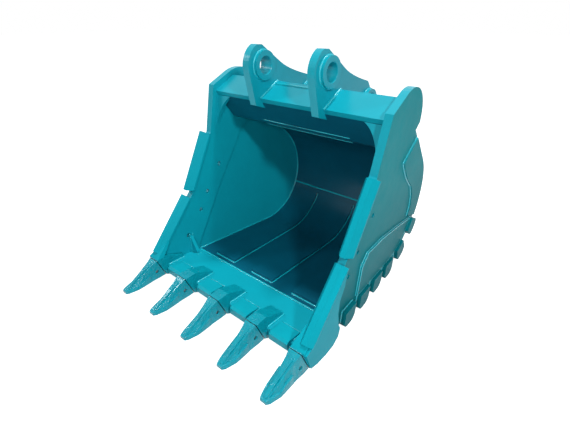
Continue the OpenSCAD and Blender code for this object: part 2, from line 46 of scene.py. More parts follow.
# Radii of the weld beads in millimetres, from the thickest plate to the thin beads that draw a fold's painted
# highlight
HEAVY_BEAD = 7
PLATE_BEAD = 6
SEAM_BEAD = 5.5
PART_BEAD = 5
LIGHT_BEAD = 4
EDGE_BEAD = 3
FOLD_HIGHLIGHT_BEAD = 1.8

Point = tuple[float, float]
Plane = tuple[float, float, float]
Tree = bpy.types.NodeTree
Socket = bpy.types.NodeSocket


def linear(hex_colour: str) -> tuple[float, float, float, float]:
    """Turns an sRGB hex colour into linear RGBA.

    Args:
        hex_colour: six hex digits, such as "12A3B0".

    Returns:
        Red, green, blue and an alpha of 1.
    """
    channels = [int(hex_colour[i : i + 2], 16) / 255 for i in (0, 2, 4)]
    lin = [c / 12.92 if c <= 0.04045 else ((c + 0.055) / 1.055) ** 2.4 for c in channels]
    return (lin[0], lin[1], lin[2], 1.0)


def add_node(
    tree: Tree,
    kind: str,
    settings: dict[str, object] | None = None,
    inputs: dict[str | int, object] | None = None,
) -> bpy.types.Node:
    """Adds a node with its settings, values and links.

    Args:
        tree: the material's or world's node tree.
        kind: Blender's name for the node.
        settings: properties of the node itself.
        inputs: socket name or number to a value, or to an output socket to link.

    Returns:
        The new node.
    """
    node = tree.nodes.new(kind)
    for name, value in (settings or {}).items():
        setattr(node, name, value)
    for name, value in (inputs or {}).items():
        if isinstance(value, Socket):
            tree.links.new(value, node.inputs[name])
        else:
            node.inputs[name].default_value = value
    return node


def fresh_tree(name: str) -> tuple[bpy.types.Material, Tree]:
    """Makes a material with an empty node tree.

    Args:
        name: the finish's name.

    Returns:
        The material and its tree.
    """
    material = bpy.data.materials.new(name)
    material.use_nodes = True
    material.node_tree.nodes.clear()
    return material, material.node_tree


def scale_for(size_mm: float) -> float:
    """Turns the size of a pattern's cell in millimetres into a texture's scale."""
    return 1000 / size_mm


@dataclass(frozen=True)
class SprayedEnamel:
    """Alkyd enamel sprayed on shot-blasted steel: half-gloss, with faint clouds where the coat lies thicker.

    The peel is the fine relief that the spray leaves, or the skin of the casting below it. It is drawn coarser
    and deeper than it is, because it wouldn't show otherwise. Dust lies in spots that are finer than the clouds.
    The low shade colour is painted shade: it fades into the other between the two heights of its band. The joint
    is a plane, as the y and z of its normal and its offset in mm, along which painted shade draws the gap
    between two castings as a dark line.
    """

    name: str
    colour: str
    thin_colour: str
    roughness: float = 0.36
    cloud_mm: float = 160.0
    peel_mm: float = 5.0
    peel_depth_mm: float = 0.05
    peel_drawn: float = 4.0
    peel_strength: float = 0.35
    rough_spread: tuple[float, float] = (0.07, -0.05)
    gloss: float = 0.3
    coat: float = 0.06
    coat_roughness: float = 0.15
    dust: float = 0.0
    dust_fineness: float = 2.6
    dust_colour: str = "8FA5A4"
    low_shade_colour: str = ""
    low_shade_band_mm: tuple[float, float] = (-1050, -450)
    joint: Plane | None = None
    joint_mm: float = 2.0
    joint_shade_colour: str = "062A30"

    def build(self) -> bpy.types.Material:
        """Builds the material.

        Returns:
            The enamel's material.
        """
        material, tree = fresh_tree(self.name)
        place = add_node(tree, "ShaderNodeTexCoord").outputs["Object"]
        clouds = add_node(
            tree,
            "ShaderNodeTexNoise",
            inputs={"Vector": place, "Scale": scale_for(self.cloud_mm), "Detail": 4.0, "Roughness": 0.6},
        ).outputs["Fac"]
        coat = add_node(
            tree,
            "ShaderNodeMix",
            {"data_type": "RGBA"},
            {0: clouds, 6: linear(self.thin_colour), 7: linear(self.colour)},
        ).outputs[2]
        # layers: dust, painted shade towards the ground, and painted shade along the joint
        for layer in (self.dusted, self.painted_low_shade, self.painted_joint_shade):
            coat = layer(tree, place, coat)
        thin, thick = (self.roughness + change for change in self.rough_spread)
        rough = add_node(tree, "ShaderNodeMapRange", inputs={"Value": clouds, 3: thin, 4: thick})
        shader = add_node(
            tree,
            "ShaderNodeBsdfPrincipled",
            inputs={
                "Base Color": coat,
                "Roughness": rough.outputs[0],
                "Normal": self.relief(tree, place),
                "IOR": 1.5,
                "Specular IOR Level": self.gloss,
                "Coat Weight": self.coat,
                "Coat Roughness": self.coat_roughness,
            },
        )
        add_node(tree, "ShaderNodeOutputMaterial", inputs={"Surface": shader.outputs[0]})
        return material

    def dusted(self, tree: Tree, place: Socket, coat: Socket) -> Socket:
        """Lays thin spots of dust on the coat.

        Args:
            tree: the material's node tree.
            place: the point on the surface.
            coat: the colour so far.

        Returns:
            The colour with dust, or the same one where the finish has none.
        """
        if not self.dust:
            return coat
        spots = add_node(
            tree,
            "ShaderNodeTexNoise",
            inputs={
                "Vector": place,
                "Scale": scale_for(self.cloud_mm) * self.dust_fineness,
                "Detail": 6.0,
                "Roughness": 0.65,
            },
        ).outputs["Fac"]
        share = add_node(
            tree, "ShaderNodeMapRange", inputs={"Value": spots, 1: 0.35, 2: 0.75, 3: 0.0, 4: self.dust}
        ).outputs[0]
        return add_node(
            tree, "ShaderNodeMix", {"data_type": "RGBA"}, {0: share, 6: coat, 7: linear(self.dust_colour)}
        ).outputs[2]

    def painted_low_shade(self, tree: Tree, place: Socket, coat: Socket) -> Socket:
        """Paints shade on the coat, darkening it towards the ground.

        Args:
            tree: the material's node tree.
            place: the point on the surface.
            coat: the colour so far.

        Returns:
            The colour with painted shade towards the ground, or the same one where the finish has no low shade
            colour.
        """
        if not self.low_shade_colour:
            return coat
        low, high = (z * MM for z in self.low_shade_band_mm)
        up = add_node(tree, "ShaderNodeSeparateXYZ", inputs={"Vector": place}).outputs["Z"]
        height = add_node(
            tree, "ShaderNodeMapRange", inputs={"Value": up, 1: low, 2: high, 3: 0.0, 4: 1.0}
        ).outputs[0]
        return add_node(
            tree, "ShaderNodeMix", {"data_type": "RGBA"}, {0: height, 6: linear(self.low_shade_colour), 7: coat}
        ).outputs[2]

    def painted_joint_shade(self, tree: Tree, place: Socket, coat: Socket) -> Socket:
        """Paints shade along the joint, as the dark line of the shaded gap between the castings.

        Args:
            tree: the material's node tree.
            place: the point on the surface.
            coat: the colour so far.

        Returns:
            The colour with the painted shade line, or the same one where the finish has no joint.
        """
        if not self.joint:
            return coat
        ny, nz, off = self.joint
        reach = add_node(
            tree, "ShaderNodeVectorMath", {"operation": "DOT_PRODUCT"}, {0: place, 1: (0.0, ny, nz)}
        ).outputs["Value"]
        near = add_node(
            tree, "ShaderNodeMath", {"operation": "COMPARE"}, {0: reach, 1: off * MM, 2: self.joint_mm * MM}
        ).outputs[0]
        return add_node(
            tree, "ShaderNodeMix", {"data_type": "RGBA"}, {0: near, 6: coat, 7: linear(self.joint_shade_colour)}
        ).outputs[2]

    def relief(self, tree: Tree, place: Socket) -> Socket:
        """Raises the peel.

        Args:
            tree: the material's node tree.
            place: the point on the surface.

        Returns:
            The surface's normal with the relief.
        """
        peel = add_node(
            tree,
            "ShaderNodeTexNoise",
            inputs={"Vector": place, "Scale": scale_for(self.peel_mm), "Detail": 2.0},
        ).outputs["Fac"]
        depth = self.peel_depth_mm * MM * self.peel_drawn
        return add_node(
            tree, "ShaderNodeBump", inputs={"Strength": self.peel_strength, "Distance": depth, "Height": peel}
        ).outputs[0]


@dataclass(frozen=True)
class TurnedSteel:
    """Turned and oiled alloy steel: dark grey, with a shine that oil and grain break up."""

    name: str = "turned alloy steel"
    colour: str = "6E7072"
    roughness: float = 0.38
    rough_spread: tuple[float, float] = (-0.08, 0.12)
    grain_mm: float = 4.545

    def build(self) -> bpy.types.Material:
        """Builds the material.

        Returns:
            The steel's material.
        """
        material, tree = fresh_tree(self.name)
        place = add_node(tree, "ShaderNodeTexCoord").outputs["Object"]
        grain = add_node(
            tree,
            "ShaderNodeTexNoise",
            inputs={"Vector": place, "Scale": scale_for(self.grain_mm), "Detail": 3.0},
        ).outputs["Fac"]
        least, most = (self.roughness + change for change in self.rough_spread)
        rough = add_node(tree, "ShaderNodeMapRange", inputs={"Value": grain, 3: least, 4: most})
        shader = add_node(
            tree,
            "ShaderNodeBsdfPrincipled",
            inputs={"Base Color": linear(self.colour), "Metallic": 1.0, "Roughness": rough.outputs[0]},
        )
        add_node(tree, "ShaderNodeOutputMaterial", inputs={"Surface": shader.outputs[0]})
        return material


class Finish(Enum):
    """The finishes on the bucket, each with its recipe."""

    # Rolled plate: flat and even, so that the lamps show in it as a broad, soft sheen
    PLATE = SprayedEnamel("teal enamel on plate", "0AA2B4", "0896A8", roughness=0.3, gloss=0.22)
    # Thick guards: a coarser skin and nearly no shine, so that they keep their colour at a slant
    GUARD = SprayedEnamel(
        "teal enamel on the guards",
        "0AA2B4",
        "0896A8",
        roughness=0.4,
        gloss=0.05,
        coat=0.0,
        peel_mm=12,
        peel_depth_mm=0.3,
    )
    # Outer sides: a darker, duller copy of the plate's enamel, a little dusty, with painted shade darkening it
    # towards the ground
    SIDE = SprayedEnamel(
        "teal enamel on the sides",
        "0E98A2",
        "0A8C96",
        roughness=0.42,
        gloss=0.02,
        coat=0.0,
        dust=0.07,
        # painted shade: the sides darken towards the ground
        low_shade_colour="08727C",
    )
    # Inside of the bowl: painted shade, the enamel made a deeper colour so that the hollow looks dark
    BOWL_SHADE = SprayedEnamel("teal enamel darkened as painted bowl shade", "045C74", "034E64", roughness=0.3, gloss=0.28)
    # Cast shrouds: the pebbled skin of sand casting under the coat
    CAST = SprayedEnamel(
        "teal enamel on castings",
        "0CA4B4",
        "0892A4",
        roughness=0.3,
        gloss=0.1,
        coat=0.03,
        cloud_mm=45,
        peel_mm=9,
        peel_depth_mm=0.45,
    )
    # Cast teeth and adapters: a rough skin that breaks each highlight up, with painted shade as the dark line of
    # the gap at the joint
    TOOTH = SprayedEnamel(
        "teal enamel on the teeth",
        "06A0B0",
        "047F92",
        roughness=0.2,
        gloss=0.22,
        coat=0.1,
        cloud_mm=30,
        peel_mm=10,
        peel_depth_mm=1.2,
        peel_strength=0.9,
        # painted shade: the dark line of the gap between tip and adapter
        joint=(0.9348, 0.3552, -902.4),
    )
    # Weld beads: the paint lies thick and smooth on them, so that they catch the light, and a colour lighter
    # than the plate's adds painted highlight
    WELD = SprayedEnamel(
        "teal enamel on welds with painted highlight", "18B4C2", "10A6B6", roughness=0.22, gloss=0.6, cloud_mm=30, peel_mm=6
    )
    # Lock pins: bare metal, the one thing on the bucket that isn't teal
    PIN = TurnedSteel()


def make_finishes() -> dict[Finish, bpy.types.Material]:
    """Builds one material for each finish.

    Returns:
        Finish to material.
    """
    return {finish: finish.value.build() for finish in Finish}


@dataclass(frozen=True)
class SideShape:
    """The bucket's side view and the lean of its sides, in millimetres from the stick pin.

    The values are the driving sizes of the part's source, and points are y and z.
    """

    half_w: float = 550
    ground: float = -1128
    taper: float = 5.7
    side_t: float = 25
    bar_t: float = 38
    shell_t: float = 25
    heel_r: float = 360
    heel_y: float = 303
    wear_t: float = 27
    top_edge: Point = (-27, -156)
    ridge: Point = (104, -85)
    toe: Point = (-492, -961)
    step: Point = (-94, -376)
    seam_y: float = -272
    lip_y: float = -518
    lip_step: float = 14
    tooth_pitch: float = 259.5

    @property
    def floor_out(self) -> float:
        """Height of the floor plate's underside."""
        return self.ground + self.wear_t

    @property
    def floor(self) -> float:
        """Height of the floor plate's top."""
        return self.floor_out + self.shell_t

    @property
    def lip_top(self) -> float:
        """Height of the lip's top."""
        return self.floor + self.lip_step

    @property
    def heel_c(self) -> Point:
        """Centre of the heel's arc."""
        return (self.heel_y, self.floor_out + self.heel_r)

    @property
    def back_angle(self) -> float:
        """Angle on the heel, in degrees, where the flat back starts."""
        dy, dz = self.ridge[0] - self.heel_c[0], self.ridge[1] - self.heel_c[1]
        return math.degrees(math.atan2(dz, dy) - math.acos(self.heel_r / math.hypot(dy, dz)))

    def heel(self, radius: float, angle: float) -> Point:
        """Gives a point about the heel's centre.

        Args:
            radius: distance from the centre.
            angle: degrees above the rearward direction.

        Returns:
            Its y and z.
        """
        a = math.radians(angle)
        return (self.heel_c[0] + radius * math.cos(a), self.heel_c[1] + radius * math.sin(a))

    def back_z(self, y: float, depth: float = 0) -> float:
        """Height of the flat back at y, depth below its outer face."""
        slope = math.radians(self.back_angle)
        return self.ridge[1] - (y - self.ridge[0]) / math.tan(slope) - depth / math.sin(slope)

    def side_x(self, y: float, z: float, out: float = 0) -> float:
        """Distance from the middle plane to a side's leaning face.

        Args:
            y: place along the bucket.
            z: height.
            out: distance outside the outer face, negative inside.

        Returns:
            The half width there, in millimetres.
        """
        t = math.radians(self.taper)
        dy, dz = self.step[0] - self.toe[0], self.step[1] - self.toe[1]
        length = math.hypot(dy, dz)
        across = ((y - self.toe[0]) * dz - (z - self.toe[1]) * dy) / length
        return self.half_w + out / math.cos(t) - across * math.tan(t)

    def on_side(self, side: int, points: Iterable[Point], out: float = 0) -> list[Vector]:
        """Puts side-view points on one side's leaning face.

        Args:
            side: LEFT or RIGHT.
            points: y and z of each.
            out: distance outside the outer face.

        Returns:
            The points in metres.
        """
        return [Vector((side * self.side_x(y, z, out), y, z)) * MM for y, z in points]


def crosswise(ends: Iterable[float], y: float, z: float) -> list[Vector]:
    """Puts points side by side at one y and z.

    Args:
        ends: x of each, in millimetres.
        y: place along the bucket.
        z: height.

    Returns:
        The points in metres.
    """
    return [Vector((x, y, z)) * MM for x in ends]


def flat_at(z: float, points: Iterable[Point]) -> list[Vector]:
    """Puts top-view points at one height.

    Args:
        z: the height in millimetres.
        points: x and y of each.

    Returns:
        The points in metres.
    """
    return [Vector((x, y, z)) * MM for x, y in points]


def at_x(x: float, points: Iterable[Point]) -> list[Vector]:
    """Puts side-view points at one x.

    Args:
        x: millimetres from the middle plane.
        points: y and z of each.

    Returns:
        The points in metres.
    """
    return [Vector((x, y, z)) * MM for y, z in points]


@dataclass
class WeldBeads:
    """Weld beads of one sub-assembly, laid as one piece with the ripples that the torch leaves.

    A ripple swells the bead by its share of the radius, ripple_turn is the part of a ripple from one ring of
    points to the next, and a bead's open ends narrow to end_share.
    """

    name: str
    ripple_mm: float = 9.0
    ripple: float = 0.10
    ripple_turn: float = 0.33
    ring: int = 8
    end_share: float = 0.55
    verts: list[Vector] = field(default_factory=list)
    faces: list[tuple[int, ...]] = field(default_factory=list)

    def lay(self, path: Sequence[Vector], radius: float, closed: bool = False) -> None:
        """Lays one bead along a path.

        Args:
            path: corner points in metres.
            radius: the bead's radius in millimetres.
            closed: whether the path runs back to its start.
        """
        r = radius * MM
        points = self.walk([*path, path[0]] if closed else list(path))
        start = len(self.verts)
        n = len(points)
        normal = Vector((0.31, 0.17, 0.93))  # slanted, so that no path runs along it
        for i, p in enumerate(points):
            ahead = (points[min(i + 1, n - 1)] - points[max(i - 1, 0)]).normalized()
            normal = (normal - ahead * normal.dot(ahead)).normalized()
            other = ahead.cross(normal)
            swell = 1 + self.ripple * math.sin(2 * math.pi * i * self.ripple_turn)
            end = self.end_share if i in (0, n - 1) and not closed else 1.0
            for k in range(self.ring):
                a = 2 * math.pi * k / self.ring
                self.verts.append(p + (normal * math.cos(a) + other * math.sin(a)) * r * swell * end)
        for i in range(n - 1):
            for k in range(self.ring):
                a, b = start + i * self.ring + k, start + i * self.ring + (k + 1) % self.ring
                self.faces.append((a, b, b + self.ring, a + self.ring))
        first = tuple(range(start + self.ring - 1, start - 1, -1))
        last = tuple(range(start + (n - 1) * self.ring, start + n * self.ring))
        self.faces += [first, last]

    def walk(self, path: list[Vector]) -> list[Vector]:
        """Steps along a path.

        Args:
            path: corner points in metres.

        Returns:
            Points a third of a ripple apart.
        """
        gap = self.ripple_mm * MM / 3
        out: list[Vector] = []
        for a, b in zip(path, path[1:]):
            count = max(1, round((b - a).length / gap))
            out += [a.lerp(b, i / count) for i in range(count)]
        return out + [path[-1]]

    def build(self, material: bpy.types.Material) -> bpy.types.Object:
        """Makes the piece and sets it on the bucket.

        Args:
            material: the beads' finish.

        Returns:
            The piece.
        """
        mesh = bpy.data.meshes.new(self.name)
        mesh.from_pydata([tuple(v) for v in self.verts], [], self.faces)
        mesh.update()
        for polygon in mesh.polygons:
            polygon.use_smooth = True
        mesh.materials.append(material)
        piece = bpy.data.objects.new(self.name, mesh)
        bpy.context.scene.collection.objects.link(piece)
        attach(piece, BODY)
        log.info("laid %s", self.name)
        return piece


@dataclass
class Plates:
    """The CAD plates and castings, each given its finish and the small radius that its edges have.

    Edges sharper than sharp_angle are rounded. A side's face is its outer one where the x of its normal, away
    from the middle, is at least outward.
    """

    finishes: dict[Finish, bpy.types.Material]
    plate_edge: float = 1.5
    thick_edge: float = 3.0
    cast_edge: float = 4.0
    guard_edge: float = 6.0
    sharp_angle: float = 25
    outward: float = 0.7
    bowl_centre: Vector = field(default_factory=lambda: Vector((0, 150, -620)) * MM)

    def finish_of(self, node: str) -> Finish:
        """Picks a node's finish.

        Args:
            node: the CAD node's name.

        Returns:
            Its finish.
        """
        if node.startswith("lock_pin"):
            return Finish.PIN
        if node.startswith(("tip", "adapter")):
            return Finish.TOOTH
        if node.startswith("lip_shroud"):
            return Finish.CAST
        if node.startswith(("upper_guard", "lower_guard")):
            return Finish.GUARD
        if node in ("floor_liners", "torque_plate"):
            # the liners and the torque plate take the bowl's painted shade
            return Finish.BOWL_SHADE
        if node.startswith(("side_", "rear_doubler", "heel_shrouds", "floor_plate", "bottom_wear")):
            return Finish.SIDE
        return Finish.PLATE

    def inside_of(self, node: str) -> Finish | None:
        """Picks the finish of the faces that look into the bowl.

        Args:
            node: the CAD node's name.

        Returns:
            Their finish, or None where it is the node's own.
        """
        if node in ("floor_plate", "back_plate"):
            # the floor's and back's faces into the bowl take the bowl's painted shade
            return Finish.BOWL_SHADE
        if node.startswith(("side_plate", "side_bar")):
            return Finish.PLATE
        return None

    def looks_in(self, name: str, polygon: bpy.types.MeshPolygon) -> bool:
        """Tells whether a face belongs to the inside.

        On a side that is all but its outer face, and elsewhere what faces the bowl.

        Args:
            name: the CAD node's name.
            polygon: one of its faces.

        Returns:
            True for an inside face.
        """
        if name.startswith("side_"):
            return polygon.normal.x * math.copysign(1, polygon.center.x) < self.outward
        return polygon.normal.dot(self.bowl_centre - polygon.center) > 0

    def paint(self, name: str, node: bpy.types.Object) -> None:
        """Gives a node its finishes, inside and out.

        Args:
            name: the CAD node's name.
            node: its object.
        """
        inside = self.inside_of(name)
        node.data.materials.clear()
        node.data.materials.append(self.finishes[self.finish_of(name)])
        if inside:
            node.data.materials.append(self.finishes[inside])
        for polygon in node.data.polygons:
            polygon.use_smooth = True
            if inside and self.looks_in(name, polygon):
                polygon.material_index = 1

    def edge_of(self, node: str, finish: Finish) -> float:
        """Picks the radius of a node's edges.

        Args:
            node: the CAD node's name.
            finish: its finish.

        Returns:
            The radius in millimetres.
        """
        if node.startswith(("upper_guard", "lower_guard", "heel_shrouds", "torque_plate")):
            return self.guard_edge
        if finish in (Finish.CAST, Finish.TOOTH):
            return self.cast_edge
        if node.startswith(("top_plate", "ear", "side_bar")):
            return self.thick_edge
        return self.plate_edge

    def dress(self) -> None:
        """Gives every node its finish and rounds its edges."""
        for name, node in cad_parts.items():
            self.paint(name, node)
            bevel = node.modifiers.new("eased edges", "BEVEL")
            bevel.width = self.edge_of(name, self.finish_of(name)) * MM
            bevel.segments = 2 if bevel.width < self.thick_edge * MM else 3
            bevel.limit_method = "ANGLE"
            bevel.angle_limit = math.radians(self.sharp_angle)
            bevel.harden_normals = True
        log.info("dressed %d nodes", len(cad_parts))


@dataclass
class BowlWelds:
    """Welds inside the bowl."""

    shape: SideShape
    material: bpy.types.Material
    seam_half: float = 498
    shell_seam_angle: float = -24
    bar_seam: tuple[Point, ...] = ((-272, -1030), (-66, -685), (125, -400), (185, -355))
    floor_start: float = 4
    back_seam: tuple[float, float] = (540, 350)
    # thin light beads along the torque plate's folds: painted highlight on the bends
    folds: tuple[Point, ...] = ((64, -291), (94, -318))
    fold_ends: tuple[float, float] = (-240, 310)
    liner_pitch: float = 297
    liner_half: float = 78
    liner_start: float = 34
    liner_end_angle: int = -30
    gusset_foot: float = 62
    gusset_h: float = 118
    gusset_tip: float = 2
    gusset_faces: tuple[float, float] = (60, 40)

    @property
    def inner_r(self) -> float:
        """Radius of the heel's inside."""
        return self.shape.heel_r - self.shape.shell_t

    def build(self) -> None:
        """Lays the welds across the bowl, then those of the sides, the liners and the lip gussets."""
        beads = WeldBeads("welds_in_bowl")
        self.lay_cross_seams(beads)
        for side in (LEFT, RIGHT):
            self.lay_side_seams(beads, side)
        for i in (-1, 0, 1):
            self.lay_liner(beads, i * self.liner_pitch)
        for side in (LEFT, RIGHT):
            self.lay_gusset(beads, side)
        beads.build(self.material)

    def lay_cross_seams(self, beads: WeldBeads) -> None:
        """Lays the seams of the lip and of the back plate, and thin light beads along the torque plate's folds
        as painted highlight on the bends.

        Args:
            beads: the piece to lay them in.
        """
        s = self.shape
        beads.lay(crosswise((-self.seam_half, self.seam_half), s.seam_y, s.floor), HEAVY_BEAD)
        y, z = s.heel(self.inner_r, self.shell_seam_angle)
        half = s.side_x(y, z, -s.side_t)
        beads.lay(crosswise((-half, half), y, z), PLATE_BEAD)
        for y, z in self.folds:
            beads.lay(crosswise(self.fold_ends, y, z), FOLD_HIGHLIGHT_BEAD)

    def lay_side_seams(self, beads: WeldBeads, side: int) -> None:
        """Lays the seam of the side bar and the one along the floor, the heel and the back.

        Args:
            beads: the piece to lay them in.
            side: LEFT or RIGHT.
        """
        s = self.shape
        beads.lay(s.on_side(side, self.bar_seam, -s.side_t), PLATE_BEAD)
        floor = [(s.seam_y + self.floor_start, s.floor), (s.heel_y, s.floor)]
        arc = [s.heel(self.inner_r, a) for a in range(-90, round(s.back_angle), ARC_STEP)]
        back = [(y, s.back_z(y, s.shell_t)) for y in self.back_seam]
        beads.lay(s.on_side(side, floor + arc + back, -s.side_t), SEAM_BEAD)

    def lay_liner(self, beads: WeldBeads, middle: float) -> None:
        """Lays the beads along both edges and the front end of a floor liner.

        Args:
            beads: the piece to lay them in.
            middle: x of the liner's middle line.
        """
        s = self.shape
        front = s.seam_y + self.liner_start
        edges = (middle - self.liner_half, middle + self.liner_half)
        flat = [(front, s.floor), (s.heel_y, s.floor)]
        arc = [s.heel(self.inner_r, a) for a in range(ARC_STEP - 90, self.liner_end_angle + 1, ARC_STEP)]
        for x in edges:
            beads.lay(at_x(x, flat + arc), LIGHT_BEAD)
        beads.lay(crosswise(edges, front, s.floor), PART_BEAD)

    def lay_gusset(self, beads: WeldBeads, side: int) -> None:
        """Lays a bead on both faces of a lip gusset, along its foot and up the side bar.

        Args:
            beads: the piece to lay them in.
            side: LEFT or RIGHT.
        """
        s = self.shape
        for ahead in self.gusset_faces:
            y = s.seam_y - ahead
            x = s.side_x(y, s.lip_top, -s.bar_t)
            high = s.side_x(y, s.lip_top + self.gusset_h, -s.bar_t)
            foot = crosswise((side * (x - self.gusset_foot), side * x), y, s.lip_top)
            tip = crosswise((side * high,), y, s.lip_top + self.gusset_h - self.gusset_tip)
            beads.lay(foot + tip, LIGHT_BEAD)


@dataclass
class EarWelds:
    """Welds round the ears' feet and bosses."""

    shape: SideShape
    material: bpy.types.Material
    gap: float = 350
    thickness: float = 40
    foot_end: float = 418
    stick_pin: Point = (0, 0)
    stick_boss_r: float = 70
    link_pin: Point = (377, -176)
    link_boss_r: float = 60
    ring_points: int = 48
    ridge_seam: Point = (82, -97)

    def build(self) -> None:
        """Lays the beads along both faces of each ear, and the seam below the ridge between them."""
        s = self.shape
        beads = WeldBeads("welds_on_ears")
        inner, outer = self.gap / 2, self.gap / 2 + self.thickness
        foot = [s.top_edge, s.ridge, (self.foot_end, s.back_z(self.foot_end))]
        for side in (LEFT, RIGHT):
            for face in (inner, outer):
                beads.lay(at_x(side * face, foot), HEAVY_BEAD)
                for pin, r in ((self.stick_pin, self.stick_boss_r), (self.link_pin, self.link_boss_r)):
                    beads.lay(at_x(side * face, self.boss_ring(pin, r)), PART_BEAD, closed=True)
        beads.lay(crosswise((-inner, inner), *self.ridge_seam), PLATE_BEAD)
        beads.build(self.material)

    def boss_ring(self, pin: Point, radius: float) -> list[Point]:
        """Gives the points round a boss.

        Args:
            pin: y and z of the pin's middle.
            radius: the boss's radius.

        Returns:
            The ring's y and z points.
        """
        turns = [2 * math.pi * k / self.ring_points for k in range(self.ring_points)]
        return [(pin[0] + radius * math.cos(a), pin[1] + radius * math.sin(a)) for a in turns]


@dataclass
class OuterWelds:
    """Welds of the wear plate, doubler, heel shrouds and guards on the outside of one side."""

    shape: SideShape
    material: bpy.types.Material
    side: int
    plate_t: float = 12
    plate_bevel: float = 2
    wear_front: tuple[Point, ...] = ((-96, -1017), (-96, -838), (-47, -781), (120, -784), (338, -814))
    wear_end: Point = (100, -1017)
    wear_up_heel: float = 66
    wear_steps: int = 10
    wear_gap: float = 8
    doubler_front: tuple[Point, ...] = (
        (344, -309),
        (214, -404),
        (255, -453),
        (320, -517),
        (430, -601),
        (484, -677),
        (503, -748),
        (496, -810),
    )
    doubler_low_angle: int = -20
    doubler_inset: float = 8
    shroud_h: float = 76
    shroud_foot: float = 6
    shroud_l: float = 108
    shroud_count: int = 6
    flat_shrouds: int = 3
    shroud_start: float = 91
    flat_pitch: float = 161
    heel_pitch: float = 184
    upper_guard: tuple[Point, ...] = ((-100, -387), (-82, -396), (-239, -695), (-257, -686))
    above_bolt: tuple[Point, ...] = ((-290, -724), (-302, -722), (-316, -805), (-345, -862), (-350, -930))
    below_bolt: tuple[Point, ...] = ((-343, -970), (-338, -1003), (-322, -1035), (-332, -1078), (-370, -1106))
    guard_sole: Point = (-526, -1000)

    def edge(self, path: float, off: float) -> Point:
        """Gives a point near the side's lower edge.

        Args:
            path: length along the edge, measured as y on its straight part.
            off: distance outside the edge.

        Returns:
            Its y and z.
        """
        s = self.shape
        if path < s.heel_y:
            return (path, s.floor_out - off)
        return s.heel(s.heel_r + off, math.degrees((path - s.heel_y) / s.heel_r) - 90)

    def build(self) -> None:
        """Lays the beads of the wear plate, the doubler, the shrouds and the guards."""
        beads = WeldBeads("welds_outside_" + ("right" if self.side == RIGHT else "left"))
        self.lay_wear_plate(beads)
        self.lay_doubler(beads)
        for i in range(self.shroud_count):
            self.lay_shroud(beads, i)
        self.lay_guards(beads)
        beads.build(self.material)

    def lay_wear_plate(self, beads: WeldBeads) -> None:
        """Lays a bead round the wear plate's foot and a thinner one round its upper edge.

        Args:
            beads: the piece to lay them in.
        """
        s = self.shape
        far = s.heel_y + s.heel_r * math.radians(self.wear_up_heel)
        step = s.heel_r * math.radians(self.wear_up_heel / self.wear_steps)
        depth = -self.shroud_h - self.wear_gap
        low = [self.edge(far - step * k, depth) for k in range(self.wear_steps + 1)]
        outline = [*self.wear_front, *low, self.wear_end]
        for out, radius in ((0, PART_BEAD), (self.plate_t - self.plate_bevel, EDGE_BEAD)):
            beads.lay(s.on_side(self.side, outline, out), radius, closed=True)

    def lay_doubler(self, beads: WeldBeads) -> None:
        """Lays a bead round the rear doubler.

        Args:
            beads: the piece to lay it in.
        """
        s = self.shape
        angles = range(self.doubler_low_angle, round(s.back_angle), ARC_STEP)
        arc = [s.heel(s.heel_r - self.doubler_inset, a) for a in angles]
        beads.lay(s.on_side(self.side, [*self.doubler_front, *arc]), PART_BEAD, closed=True)

    def lay_shroud(self, beads: WeldBeads, i: int) -> None:
        """Lays a bead up, over and down one heel shroud's leg on the side.

        Args:
            beads: the piece to lay it in.
            i: the shroud's number from the front, from 0.
        """
        flat, up = min(i, self.flat_shrouds), max(i - self.flat_shrouds, 0)
        middle = self.shape.seam_y + self.shroud_start + flat * self.flat_pitch + up * self.heel_pitch
        near, far = middle - self.shroud_l / 2, middle + self.shroud_l / 2
        low, high = -self.shroud_foot, -self.shroud_h
        outline = [self.edge(*corner) for corner in ((near, low), (near, high), (far, high), (far, low))]
        beads.lay(self.shape.on_side(self.side, outline), PART_BEAD)

    def lay_guards(self, beads: WeldBeads) -> None:
        """Lays the beads of both guards on the bar's outer and inner face, clear of its open bolt hole.

        Args:
            beads: the piece to lay them in.
        """
        s = self.shape
        for outline in (self.upper_guard, self.above_bolt, self.below_bolt):
            beads.lay(s.on_side(self.side, outline), PART_BEAD)
        for ends in ((self.upper_guard[0], self.upper_guard[-1]), (self.above_bolt[0], self.guard_sole)):
            beads.lay(s.on_side(self.side, ends, -s.bar_t), LIGHT_BEAD)


